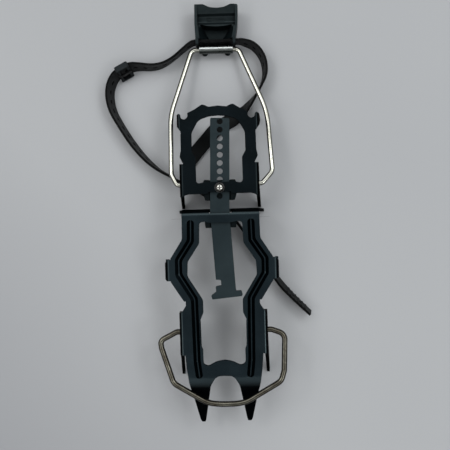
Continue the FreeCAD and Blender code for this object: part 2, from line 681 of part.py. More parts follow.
# Side outline (y, z[, radius])
LEVER_SIDE = [
    (141.2, 0.9, 1.2), (170.5, 0.9, 6.0), (175.4, 9.0, 3.0), (174.2, 17.6, 1.2),
    (156.0, 16.9, 30.0), (147.5, 16.6, 6.0), (141.2, 15.8, 2.5),
]
LEVER_HALF_WIDTH = dim("lever_width") / 2
# Plan outline (x, y[, radius])
LEVER_PLAN = [
    (-17.2, 140.5), (15.9, 140.5), (16.1, 147.0, 8.0), (18.0, 158.0, 20.0),
    (LEVER_HALF_WIDTH + 0.5, 173.4, 1.6), (12.9, 174.0, 6.0), (7.2, 171.5, 12.0),
    (0.5, 170.9, 30.0), (-5.5, 171.7, 12.0), (-11.0, 174.4, 6.0),
    (-LEVER_HALF_WIDTH + 0.8, 174.8, 1.6), (-17.7, 158.0, 20.0), (-17.3, 147.0, 8.0),
]
# Side outline (y, z[, radius]) of the space above the ledge
LEVER_SCOOP = [
    (178.0, 24.0), (178.0, 18.4), (166.6, 15.9, 1.2), (164.6, 13.6, 2.0), (160.4, 12.6, 3.0),
    (157.9, 13.9, 0.5), (156.0, 13.9), (156.0, 24.0),
]
# Plan outlines (x, y[, radius]) of the hollow, at its top and at its bottom
BOWL_TOP = [
    (-14.9, 159.6, 1.2), (-8.3, 157.7, 12.0), (0.2, 156.9, 30.0), (8.7, 157.4, 12.0),
    (15.2, 159.0, 1.2), (14.6, 152.0, 3.0), (13.5, 145.2), (-14.8, 145.2), (-14.9, 152.0, 3.0),
]
BOWL_BOTTOM = [
    (-10.3, 156.5, 0.6), (-6.0, 155.7, 6.0), (0.1, 155.2, 8.0), (6.2, 155.5, 6.0),
    (10.4, 156.2, 0.6), (7.6, 151.0, 2.0), (2.8, 145.2), (-4.0, 145.2), (-8.0, 151.0, 2.0),
]


def rivet_hole_sketch(body, name, z):
    sketch = new_sketch(body, name, "XY", (0, 0, z))
    for x in RIVET_XS:
        add_circle(sketch, x, RIVET_Y, RIVET_HOLE_RADIUS)
    return sketch


def make_heel_lever():
    body = new_body("heel_lever")
    sketch = outline_sketch(body, "lever_side_outline", "YZ", (0, 0, -25), LEVER_SIDE)
    pad(body, sketch, 50.0, "lever_block")
    plan_cut(body, "lever_plan_trim", "lever_plan", 70.0,
             rectangle(-40, 120, 40, 190), LEVER_PLAN)
    # thumb ledge between the side walls, ending in a lip
    sketch = outline_sketch(body, "lever_scoop_outline", "YZ", (0, 0, -15.3), LEVER_SCOOP)
    pocket(body, sketch, 31.6, "lever_scoop", reverse=True)
    # grip lines on the ledge
    sketch = new_sketch(body, "lever_grip_outline", "YZ", (0, 0, -7.5))
    for k in range(4):
        add_circle(sketch, 160.2 + 1.15 * k, 12.55 + 0.27 * k, 0.36)
    pad(body, sketch, 15.0, "lever_grip")
    # hollow in front of the ledge, narrowing downwards to a keel
    ruled_loft(body, "Subtractive", "lever_bowl", (BOWL_TOP, 17.4), (BOWL_BOTTOM, 5.6))
    # way for the hinge sleeve and the strap between the cheeks
    plan_cut(body, "lever_mouth_outline", "lever_mouth", 65.0,
             rectangle(-14.9, 136, 13.7, 146.1))
    # strap slots through the cheeks
    sketch = outline_sketch(body, "strap_slot_outline", "YZ", (0, 0, -25),
                            [(143.0, 2.2, 0.6), (146.1, 2.2, 0.6), (146.1, 15.0, 0.6),
                             (143.0, 15.0, 0.6)])
    pocket(body, sketch, 50.0, "strap_slots", reverse=True)
    feet = [[(x - 2.4, 135.0, 2.2), (x + 2.4, 135.0, 2.2), (x + 2.4, 149.0), (x - 2.4, 149.0)]
            for x in (-10.4, 9.0)]
    sketch = outline_sketch(body, "lever_feet_outline", "XY", (0, 0, 0.9), *feet)
    pad(body, sketch, 1.4, "lever_feet")
    # seat for the tongue of the hinge plate, cut from below
    x0, x1 = TONGUE_X0 - TONGUE_GAP, TONGUE_X1 + TONGUE_GAP
    sketch = outline_sketch(body, "lever_tongue_seat", "XY", (0, 0, -1.0),
                            [(x0, 140.0), (x1, 140.0), (x1, 157.4, 1.0), (x0, 157.4, 1.0)])
    pocket(body, sketch, 3.45, "lever_tongue_way", reverse=True)
    sketch = rivet_hole_sketch(body, "lever_rivet_hole_outline", -1.0)
    pocket(body, sketch, 5.45, "lever_rivet_holes", reverse=True)


def make_lever_hinge_plate():
    """Sheet rolled round the heel bail, running out in a tongue under the lever."""
    body = new_body("lever_hinge_plate")
    axis_y, axis_z = dim("lever_axis_y"), dim("lever_axis_z")
    inner = dim("knuckle_inner")
    outer = inner + dim("knuckle_sheet")
    start, stop = math.radians(25.0), 1.5 * math.pi

    def knuckle_arc(radius):
        return Part.ArcOfCircle(Part.Circle(Vector(axis_y, axis_z, 0), UP, radius), start, stop)

    def arc_start(radius):
        return axis_y + radius * math.cos(start), axis_z + radius * math.sin(start)

    geometry = [knuckle_arc(inner)]
    geometry += line_chain([(axis_y, axis_z - inner), (139.7, axis_z - inner), (143.0, 2.3),
                            (157.0, 2.3), (157.0, 1.0), (142.3, 1.0), (139.1, axis_z - outer),
                            (axis_y, axis_z - outer)])
    geometry.append(knuckle_arc(outer))
    geometry += line_chain([arc_start(outer), arc_start(inner)])
    sketch = new_sketch(body, "hinge_plate_section", "YZ", (0, 0, -14.7))
    sketch.addGeometry(geometry, False)
    pad(body, sketch, 28.2, "hinge_plate_sheet")
    # narrow the sheet to the tongue: sketch, feature, height of the cut, front edge, radius
    for sketch_name, name, z, y, radius in (
            ("hinge_plate_plan", "hinge_plate_tongue", 4.0, 139.3, 0.8),
            ("hinge_plate_corner", "hinge_plate_corners", 5.3, 140.4, 0.4)):
        sketch = outline_sketch(
            body, sketch_name, "XY", (0, 0, z),
            [(TONGUE_X0, y, radius), (TONGUE_X0, 157.5), (-20, 160), (-20, y)],
            [(TONGUE_X1, y, radius), (20, y), (20, 160), (TONGUE_X1, 157.5)])
        pocket(body, sketch, 10.0, name)
    sketch = rivet_hole_sketch(body, "hinge_plate_holes_outline", 3.0)
    pocket(body, sketch, 10.0, "hinge_plate_holes")


def make_lever_rivets():
    rivets = []
    for k, x in enumerate(RIVET_XS):
        shank = doc.addObject("Part::Cylinder", "rivet_shank_%d" % k)
        shank.Radius = 1.2
        shank.Height = 4.0
        shank.Placement = Placement(Vector(x, RIVET_Y, 0.4), Rotation())
        head = doc.addObject("Part::Cylinder", "rivet_head_%d" % k)
        head.setExpression("Radius", "dims.rivet_head / 2")
        head.Height = 0.75
        head.Placement = Placement(Vector(x, RIVET_Y, 0.2), Rotation())
        rivet = doc.addObject("Part::MultiFuse", "rivet_%d" % k)
        rivet.Shapes = [shank, head]
        rivets.append(rivet)
    group = doc.addObject("Part::Compound", "lever_rivets")
    group.Links = rivets


# ------------------------------------------------------------------ strap
# One strap, in lengths between the moving joints.
# name: (side, stations); the top edge leans to the left of the run for side 1, to the right
# for side -1. Stations are (x, y, tilt, extra height); tilt 0 lies flat, 90 stands on edge.
STRAP = {
    "strap_tail": (-1, [
        (18.2, -15.0, 88, 0), (31.6, -34.3, 86, 0), (40.2, -48.0, 80, 0), (48.4, -60.4, 73, 0),
        (59.6, -73.1, 76, 0), (73.0, -86.4, 79, 0)]),
    "strap_under_bar": (-1, [
        (-2.4, 7.6, 88, 0), (3.6, 2.4, 88, 0), (9.6, -3.6, 88, 0), (17.6, -14.2, 88, 0)]),
    "strap_heel_run": (1, [
        (-3.2, 8.2, 88, 0), (-13.6, 15.6, 88, 0), (-26.1, 23.0, 88, 0), (-35.4, 28.5, 88, 0)]),
    "strap_left_loop": (1, [
        (-37.0, 29.4, 88, 0), (-42.6, 32.9, 87, 0), (-51.2, 37.9, 85, 0), (-59.5, 44.8, 79, 0),
        (-66.9, 52.8, 76, 0), (-73.4, 61.4, 74, 0), (-79.3, 70.6, 74, 0), (-84.4, 79.4, 73, 0),
        (-88.9, 88.3, 72, 0), (-91.3, 97.1, 70, 0), (-91.6, 105.9, 69, 0),
        (-89.4, 113.2, 67, 0.8), (-85.1, 119.33, 66, 1.75)]),
    "strap_top_run": (1, [
        (-84.77, 119.51, 66, 1.75), (-78.9, 122.6, 66, 1.75), (-73.2, 125.6, 66, 1.75),
        (-66.4, 126.4, 75, 0.5), (-57.1, 125.8, 80, 0), (-50.3, 126.4, 84, 0),
        (-44.1, 128.5, 89, 0), (-37.1, 132.6, 93, 0.2), (-29.3, 138.6, 92, 1.0),
        (-23.9, 142.4, 90, 1.9), (-19.3, 144.5, 89, 2.4)]),
    "strap_in_lever": (1, [
        (-18.6, 144.6, 89, 2.45), (-9.0, 144.5, 89, 2.45), (0.0, 144.4, 89, 2.45),
        (9.0, 144.5, 89, 2.45), (18.6, 144.6, 88, 2.45)]),
    "strap_right_loop": (1, [
        (19.3, 144.6, 86, 2.4), (24.1, 143.6, 80, 1.9), (30.0, 141.4, 76, 1.0),
        (35.3, 136.5, 74, 0.3), (39.1, 129.1, 74.5, 0), (40.3, 120.7, 77, 0),
        (39.4, 114.2, 80, 0), (37.2, 108.6, 85, 0), (34.5, 103.7, 87, 0), (30.9, 98.4, 80, 0),
        (26.8, 93.3, 69, 0)]),
    "strap_diagonal": (1, [
        (26.25, 92.65, 67, 0), (22.0, 87.9, 56, 0), (16.2, 82.6, 28, 0), (10.8, 79.6, 8, 0),
        (5.0, 76.8, 0, 0), (-2.9, 72.2, 0, 0), (-11.3, 63.1, 0, 0), (-19.6, 53.9, 0, 0),
        (-25.4, 47.0, 0, 0), (-28.0, 43.8, 0, 0)]),
}
BUCKLE_PLACE = Vector(-78.9, 122.6, 0)
BUCKLE_ALONG = Vector(0.885, 0.466, 0)    # the way the strap runs there
BUCKLE_TILT, BUCKLE_EXTRA = 66.0, 1.85    # as for a strap station
# Lengths cut off square: (point on the plane, direction of the side that goes)
STRAP_CUTS = {
    "strap_left_loop": [(BUCKLE_PLACE - BUCKLE_ALONG * 6.9, BUCKLE_ALONG)],
    "strap_top_run": [(Vector(-19.1, 146.0, 0), Vector(1, 0, 0)),
                      (BUCKLE_PLACE - BUCKLE_ALONG * 6.5, BUCKLE_ALONG * -1)],
    "strap_right_loop": [(Vector(19.1, 146.0, 0), Vector(-1, 0, 0))],
    "strap_in_lever": [(Vector(18.4, 146.0, 0), Vector(1, 0, 0)),
                       (Vector(-18.4, 146.0, 0), Vector(-1, 0, 0))],
}


def strap_centre_z(tilt, extra):
    """Height of the strap's middle when its lowest edge is just off the ground, plus extra."""
    lean = math.radians(tilt)
    tall = (dim("strap_width") * abs(math.sin(lean)) + dim("strap_thick") * abs(math.cos(lean)))
    return tall / 2 + dim("strap_lift") + extra


def smooth(stations, steps=3):
    """Catmull-Rom spline through the stations, with equal steps between each two."""
    result = []
    last = len(stations) - 1
    for i in range(last):
        spans = list(zip(stations[max(i - 1, 0)], stations[i], stations[i + 1],
                         stations[min(i + 2, last)]))
        for k in range(steps):
            s = k / steps
            result.append(tuple(
                0.5 * (2 * start + (end - before) * s
                       + (2 * before - 5 * start + 4 * end - after) * s * s
                       + (-before + 3 * start - 3 * end + after) * s ** 3)
                for before, start, end, after in spans))
    result.append(stations[-1])
    return result


def strap_solid(side, stations):
    """Ruled loft through rectangles set across the run."""
    half_width, half_thick = dim("strap_width") / 2, dim("strap_thick") / 2
    points = smooth(stations)
    wires = []
    for i, (x, y, tilt, extra) in enumerate(points):
        before, after = points[max(i - 1, 0)], points[min(i + 1, len(points) - 1)]
        dx, dy = after[0] - before[0], after[1] - before[1]
        sideways = Vector(-dy, dx, 0) * (side / math.hypot(dx, dy))
        lean = math.radians(tilt)
        across = (sideways * math.cos(lean) + UP * math.sin(lean)) * half_width
        through = (UP * math.cos(lean) - sideways * math.sin(lean)) * half_thick
        centre = Vector(x, y, strap_centre_z(tilt, extra))
        corners = [centre + across + through, centre - across + through,
                   centre - across - through, centre + across - through]
        wires.append(Part.makePolygon(corners + [corners[0]]))
    return Part.makeLoft(wires, True, True)


def keep_side(shape, point, away):
    """The part of a shape behind a plane whose normal points away."""
    block = Part.makeBox(300, 300, 300, Vector(-150, -150, 0))
    block.Placement = Placement(point, Rotation(UP, away))
    return shape.cut(block)


def make_straps():
    for name, (side, stations) in STRAP.items():
        feature = doc.addObject("Part::Feature", name)
        solid = strap_solid(side, stations)
        for point, away in STRAP_CUTS.get(name, []):
            solid = keep_side(solid, point, away)
        feature.Shape = solid.Solids[0]


# ------------------------------------------------------------------ buckle
# Drawn flat: x along the strap, y across it, z out of its face; then set on the strap.
CROSS_BAR = (-4.0, 2.95)    # x, z of the bar that carries the prong
PRONG_WIDTH = 2.2
# Side outline (x, z[, radius])
PRONG_TONGUE = [
    (-3.2, 3.85), (-2.2, 4.45, 1.0), (0.5, 4.4, 2.0), (5.8, 3.95, 0.3), (5.8, 3.15, 0.3),
    (0.5, 3.2, 2.0), (-2.2, 3.1, 0.3), (-2.75, 2.7),
]


def buckle_placement():
    lean = math.radians(BUCKLE_TILT)
    along = BUCKLE_ALONG
    across = Vector(-along.y, along.x, 0) * math.cos(lean) + UP * math.sin(lean)
    face = along.cross(across)
    return Placement(FreeCAD.Matrix(
        along.x, across.x, face.x, BUCKLE_PLACE.x,
        along.y, across.y, face.y, BUCKLE_PLACE.y,
        along.z, across.z, face.z, strap_centre_z(BUCKLE_TILT, BUCKLE_EXTRA),
        0, 0, 0, 1))


def make_buckle_frame():
    body = new_body("buckle_frame")
    sketch = outline_sketch(body, "buckle_outline", "XY", (0, 0, -2.1),
                            [(-6.0, -7.5, 1.4), (6.0, -7.5, 1.4), (6.0, 7.5, 1.4),
                             (-6.0, 7.5, 1.4)])
    pad(body, sketch, 5.7, "buckle_block")
    sketch = outline_sketch(body, "buckle_window_outline", "YZ", (0, 0, -20),
                            [(-6.4, -1.3, 0.4), (6.4, -1.3, 0.4), (6.4, 5.5), (-6.4, 5.5)])
    pocket(body, sketch, 40.0, "buckle_strap_way", reverse=True)
    bar_end = 6.9
    sketch = new_sketch(body, "buckle_bar_outline", "XZ", (0, 0, bar_end))
    add_circle(sketch, *CROSS_BAR, 0.85)
    pad(body, sketch, 2 * bar_end, "buckle_cross_bar", reverse=True)
    sketch = outline_sketch(body, "buckle_bar_outline_2", "XZ", (0, 0, bar_end),
                            [(3.2, 1.9, 0.3), (5.6, 1.9, 0.3), (5.6, 3.0, 0.4),
                             (3.2, 3.0, 0.4)])
    pad(body, sketch, 2 * bar_end, "buckle_front_bar", reverse=True)
    body.Placement = buckle_placement()


def make_buckle_prong():
    """Ring around the cross bar, with a tongue leaning on the front bar."""
    body = new_body("buckle_prong")
    offset = (0, 0, -PRONG_WIDTH / 2)
    sketch = new_sketch(body, "prong_side_outline", "XZ", offset)
    for radius in (1.55, 0.95):
        add_circle(sketch, *CROSS_BAR, radius)
    pad(body, sketch, PRONG_WIDTH, "prong_eye")
    sketch = outline_sketch(body, "prong_tongue_outline", "XZ", offset, PRONG_TONGUE)
    pad(body, sketch, PRONG_WIDTH, "prong_tongue")
    body.Placement = buckle_placement()


# ------------------------------------------------------------------ build, check and write
make_front_frame()
make_heel_frame()
make_link_bar()
make_guide("front_bar_guide", -11.8, -2.6, 12.8, FRONT_GUIDE_PLAN)
rear_guide = make_guide("rear_bar_guide", 10.4, 26.9, 13.4, REAR_GUIDE_PLAN)
cut_screw_hole(rear_guide, "rear_bar_guide", CUT_START)
make_adjuster_screw()
make_adjuster_washer()
make_adjuster_nut()
make_toe_bail()
make_heel_bail()
make_heel_lever()
make_lever_hinge_plate()
make_lever_rivets()
make_straps()
make_buckle_frame()
make_buckle_prong()
doc.recompute()

NODES = [
    "front_frame", "front_bar_guide", "heel_frame", "rear_bar_guide", "link_bar",
    "adjuster_screw", "adjuster_washer", "adjuster_nut", "toe_bail", "heel_bail", "heel_lever",
    "lever_hinge_plate", "lever_rivets", "buckle_frame", "buckle_prong",
] + list(STRAP)
for obj in doc.Objects:
    faults = [state for state in obj.State if state in ("Invalid", "Error")]
    if faults:
        raise RuntimeError("%s: %s" % (obj.Name, faults))
shapes = {obj.Label: obj.Shape for obj in doc.Objects if obj.Label in NODES}
for node in NODES:
    if shapes[node].isNull() or not shapes[node].isValid():
        raise RuntimeError("bad shape: " + node)
for node in NODES:
    shapes[node].exportStep("parts/%s.step" % node)
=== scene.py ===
# A two-part steel frame with a link bar, toe and heel bails, a heel lever and a perforated
# strap. It lies flat on a table at z = 0 and is seen from above: the toe points to -Y and the
# heel lever sits at +Y. The scene is in metres; the strap is worked out in millimetres.
import math
from bisect import bisect_right

import bpy
import bmesh
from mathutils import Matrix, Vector


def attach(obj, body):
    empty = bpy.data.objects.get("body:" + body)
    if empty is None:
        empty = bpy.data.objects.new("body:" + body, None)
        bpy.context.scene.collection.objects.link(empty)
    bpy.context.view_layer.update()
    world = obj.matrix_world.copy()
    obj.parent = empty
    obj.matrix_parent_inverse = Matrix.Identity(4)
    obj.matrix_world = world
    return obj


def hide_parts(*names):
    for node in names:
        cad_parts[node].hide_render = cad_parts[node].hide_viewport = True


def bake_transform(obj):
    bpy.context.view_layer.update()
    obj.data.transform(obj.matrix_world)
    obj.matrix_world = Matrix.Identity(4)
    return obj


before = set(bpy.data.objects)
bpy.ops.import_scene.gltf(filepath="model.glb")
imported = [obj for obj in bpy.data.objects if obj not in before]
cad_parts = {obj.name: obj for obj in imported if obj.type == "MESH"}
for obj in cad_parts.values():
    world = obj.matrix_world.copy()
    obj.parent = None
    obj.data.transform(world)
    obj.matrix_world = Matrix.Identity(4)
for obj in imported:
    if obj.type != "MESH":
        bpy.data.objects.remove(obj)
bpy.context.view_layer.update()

MM = 0.001


# ---------------------------------------------------------------- node helpers
class Nodes:
    """Adds nodes to one emptied node tree."""

    def __init__(self, tree):
        self.tree = tree
        tree.nodes.clear()

    def feed(self, socket, value):
        """Links a socket, or sets a plain value; colours gain an alpha of 1."""
        if isinstance(value, bpy.types.NodeSocket):
            self.tree.links.new(value, socket)
        elif socket.type == "RGBA":
            socket.default_value = (*value, 1.0)
        else:
            socket.default_value = value

    def node(self, kind, inputs=None, **settings):
        made = self.tree.nodes.new("ShaderNode" + kind)
        for name, value in settings.items():
            setattr(made, name, value)
        for name, value in (inputs or {}).items():
            self.feed(made.inputs[name], value)
        return made

    def ramp(self, value, span, to=(0.0, 1.0), **settings):
        """Maps the span onto the range `to`, held at both ends."""
        return self.node("MapRange", {
            "From Min": span[0], "From Max": span[1],
            "To Min": to[0], "To Max": to[1], "Value": value}, **settings).outputs[0]

    def math(self, operation, first, second):
        return self.node("Math", {0: first, 1: second}, operation=operation).outputs[0]


class Material(Nodes):
    """One material around a Principled shader, with textures in object space."""

    def __init__(self, name):
        self.material = bpy.data.materials.new(name)
        self.material.use_nodes = True
        super().__init__(self.material.node_tree)
        self.output = self.node("OutputMaterial")
        self.shader = self.node("BsdfPrincipled")
        self.feed(self.output.inputs[0], self.shader.outputs[0])
        self.position = self.node("TexCoord").outputs["Object"]
        self.normal = None

    def noise(self, scale, detail, rough, stretch=None, turn=0.0):
        """Noise; `stretch` scales it along each axis and `turn` spins it about z."""
        where = self.position
        if stretch:
            where = self.node("Mapping", {
                "Scale": stretch, "Rotation": (0, 0, turn), "Vector": where}).outputs[0]
        return self.node("TexNoise", {
            "Scale": scale, "Detail": detail, "Roughness": rough, "Vector": where}).outputs[0]

    def patches(self, span, to=(0.0, 1.0), **noise):
        return self.ramp(self.noise(**noise), span, to)

    def mix(self, amount, first, second):
        return self.node("Mix", {0: amount, 6: first, 7: second}, data_type="RGBA").outputs[2]

    def bump(self, strength, distance, **noise):
        """Noise relief, laid over any earlier bump."""
        inputs = {"Strength": strength, "Distance": distance, "Height": self.noise(**noise)}
        if self.normal is not None:
            inputs["Normal"] = self.normal
        self.normal = self.node("Bump", inputs).outputs[0]

    def edges(self, radius):
        """0 on flat areas, 1 on convex and concave edges within the radius."""
        bevel = self.node("Bevel", {"Radius": radius}, samples=4)
        flat = self.node("NewGeometry").outputs["Normal"]
        alike = self.node("VectorMath", {0: bevel.outputs[0], 1: flat}, operation="DOT_PRODUCT")
        return self.ramp(alike.outputs["Value"], span=(0.955, 0.86))

    def turned(self, span, to=(0.0, 1.0)):
        """Starts where the surface faces the eye and moves on as it turns away."""
        facing = self.node("LayerWeight", {"Blend": 0.5}).outputs["Facing"]
        return self.ramp(facing, span, to)

    def cavity_shade(self, distance, span):
        """Painted shade mask from ambient occlusion: 1 on open surfaces, falling to 0 far down
        in grooves and inside corners.
        """
        open_sky = self.node("AmbientOcclusion", {"Distance": distance}, samples=6)
        return self.ramp(open_sky.outputs["AO"], span)

    def shade_when_turned(self, colour, span):
        """Painted shade: faces seen at a glancing angle turn to a matt diffuse of the given
        colour and mirror nothing.
        """
        matt = self.node("BsdfDiffuse", {"Color": colour})
        mixed = self.node("MixShader", {
            0: self.turned(span, to=(0.0, 0.92)), 1: self.shader.outputs[0], 2: matt.outputs[0]})
        self.feed(self.output.inputs[0], mixed.outputs[0])

    def finish(self, inputs):
        """Feeds the shader and hands back the material."""
        for name, value in inputs.items():
            self.feed(self.shader.inputs[name], value)
        self.feed(self.shader.inputs["Normal"], self.normal)
        return self.material


def darker(colour, share):
    return tuple(channel * share for channel in colour)


# ---------------------------------------------------------------- materials
def coated_steel(name, dark, light, rough, specular, wear=0.35):
    """Dark coating, clouded and dusty, with bare steel on edges and scratches, and painted shade
    in grooves and on turned faces.
    """
    k = Material(name)
    clouds = k.patches(scale=38, detail=3, rough=0.5, span=(0.35, 0.68))
    colour = k.mix(clouds, dark, light)
    dust = k.patches(scale=260, detail=6, rough=0.7, span=(0.64, 0.82), to=(0.0, 0.05))
    colour = k.mix(dust, colour, (0.05, 0.056, 0.060))
    # hair-line scratches in two directions, gathered in patches
    along_y = k.patches(scale=1.0, detail=2, rough=0.5, stretch=(2600, 90, 400), turn=0.5,
                        span=(0.71, 0.77), to=(0.0, 0.30))
    along_x = k.patches(scale=1.0, detail=2, rough=0.5, stretch=(110, 3000, 500), turn=-0.25,
                        span=(0.72, 0.78), to=(0.0, 0.25))
    gathered = k.patches(scale=22, detail=2, rough=0.5, span=(0.5, 0.7))
    scratches = k.math("MULTIPLY", k.math("ADD", along_y, along_x), gathered)
    chips = k.patches(scale=330, detail=5, rough=0.75, span=(0.50, 0.72))
    edge = k.math("MULTIPLY", k.edges(radius=0.0003), chips)
    worn = k.math("MULTIPLY", k.math("MAXIMUM", edge, scratches), wear)
    # painted shade: grooves and inside corners, found by ambient occlusion, and faces turned
    # from the eye sink to near black
    painted_shade_black = darker(dark, 0.12)
    colour = k.mix(k.cavity_shade(distance=0.003, span=(0.0, 0.6)), painted_shade_black, colour)
    colour = k.mix(k.turned(span=(0.055, 0.17)), colour, painted_shade_black)
    k.bump(scale=1700, detail=3, rough=0.5, strength=0.12, distance=0.00012)
    k.bump(scale=140, detail=3, rough=0.5, strength=0.08, distance=0.0005)
    # painted shade: faces at a glancing angle turn to a matt near-black diffuse that reflects
    # nothing
    k.shade_when_turned(painted_shade_black, span=(0.30, 0.55))
    return k.finish({
        "Base Color": k.mix(worn, colour, (0.22, 0.23, 0.235)),
        "Metallic": k.math("MULTIPLY", worn, 0.7),
        "Roughness": k.patches(scale=420, detail=5, rough=0.6, span=(0.25, 0.75), to=rough),
        "Specular IOR Level": k.turned(span=(0.055, 0.20), to=(specular, specular * 0.10)),
        "Specular Tint": (0.72, 0.95, 1.0)})


def bare_metal(name, base, second, rough, stain=None, stain_amount=0.0, mottle=60, toe_side_shade=0.0):
    """Mottled metal with fine drawing lines, stains where asked, painted shade on rims turned
    from the eye, and painted shade on the side facing -Y where asked.
    """
    k = Material(name)
    mottling = k.patches(scale=mottle, detail=5, rough=0.6, span=(0.38, 0.62))
    colour = k.mix(mottling, base, second)
    if stain:
        spots = k.patches(scale=190, detail=6, rough=0.72, span=(0.52, 0.64),
                          to=(0.0, stain_amount))
        colour = k.mix(spots, colour, stain)
    # painted shade: rims of wires and sleeves, turned from the eye, darken towards a near-black
    # copy of the second colour
    colour = k.mix(k.turned(span=(0.16, 0.60)), colour, darker(second, 0.14))
    if toe_side_shade:
        # painted shade: the side that faces the toe, -Y, is darkened as if turned from the light
        normal = k.node("NewGeometry").outputs["Normal"]
        facing_y = k.node("SeparateXYZ", {0: normal}).outputs["Y"]
        toeward_shade = k.ramp(facing_y, span=(0.02, -0.42), to=(0.0, toe_side_shade))
        colour = k.mix(toeward_shade, colour, (0.045, 0.052, 0.048))
    k.bump(scale=1.0, detail=3, rough=0.5, stretch=(2400, 260, 2400),
           strength=0.10, distance=0.00012)
    k.bump(scale=420, detail=4, rough=0.6, strength=0.10, distance=0.00020)
    return k.finish({
        "Base Color": colour,
        "Metallic": 1.0,
        "Roughness": k.patches(scale=240, detail=5, rough=0.6, span=(0.3, 0.7), to=rough)})


def moulded(name, dark, light, rough, grain):
    """Grained plastic, scuffed on edges and faces, with painted shade in shut-in places; the
    lighter edges are wear and painted highlight.
    """
    k = Material(name)
    wear = (0.0, 0.45)
    clouds = k.patches(scale=45, detail=4, rough=0.55, span=(0.35, 0.7))
    colour = k.mix(clouds, dark, light)
    # edges rubbed lighter: partly wear and partly painted highlight
    rubbed = k.patches(scale=260, detail=5, rough=0.7, span=(0.45, 0.7), to=wear)
    edge = k.math("MULTIPLY", k.edges(radius=0.0006), rubbed)
    scuffs = k.patches(scale=1.0, detail=3, rough=0.6, stretch=(900, 140, 400), turn=0.7,
                       span=(0.66, 0.76), to=wear)
    # painted shade: shut-in places, such as the lever's hollow, darken and reflect less
    openness = k.cavity_shade(distance=0.016, span=(0.38, 0.90))
    colour = k.mix(openness, darker(dark, 0.60), colour)
    shine = k.turned(span=(0.12, 0.40), to=(0.50, 0.10))
    k.bump(scale=grain, detail=3, rough=0.55, strength=0.22, distance=0.00018)
    return k.finish({
        "Base Color": k.mix(k.math("MAXIMUM", edge, scuffs), colour, (0.075, 0.085, 0.090)),
        "Roughness": k.patches(scale=300, detail=4, rough=0.6, span=(0.3, 0.7), to=rough),
        "Specular IOR Level": k.math("MULTIPLY", shine, k.math("MAXIMUM", openness, 0.45)),
        "Specular Tint": (0.78, 0.97, 1.0)})


def strap_skin(name, dark, light, specular):
    """Dusty black polyurethane with greyed edges, and painted shade where parts close over it.
    """
    k = Material(name)
    grey = (0.045, 0.045, 0.045)
    clouds = k.patches(scale=70, detail=4, rough=0.6, span=(0.35, 0.68))
    colour = k.mix(clouds, dark, light)
    dust = k.patches(scale=320, detail=6, rough=0.75, span=(0.58, 0.80), to=(0.0, 0.22))
    colour = k.mix(dust, colour, grey)
    # painted shade: near black in the holes and where other parts lie close over the strap
    openness = k.cavity_shade(distance=0.0022, span=(0.2, 0.85))
    colour = k.mix(openness, (0.0006, 0.0007, 0.0008), colour)
    rubbed = k.patches(scale=400, detail=4, rough=0.7, span=(0.4, 0.7), to=(0.0, 0.4))
    edge = k.math("MULTIPLY", k.edges(radius=0.0005), rubbed)
    k.bump(scale=2600, detail=3, rough=0.6, strength=0.25, distance=0.00012)
    k.bump(scale=240, detail=3, rough=0.5, strength=0.12, distance=0.0005)
    return k.finish({
        "Base Color": k.mix(edge, colour, grey),
        "Roughness": k.patches(scale=500, detail=4, rough=0.6, span=(0.3, 0.7),
                               to=(0.42, 0.60)),
        "Specular IOR Level": specular})


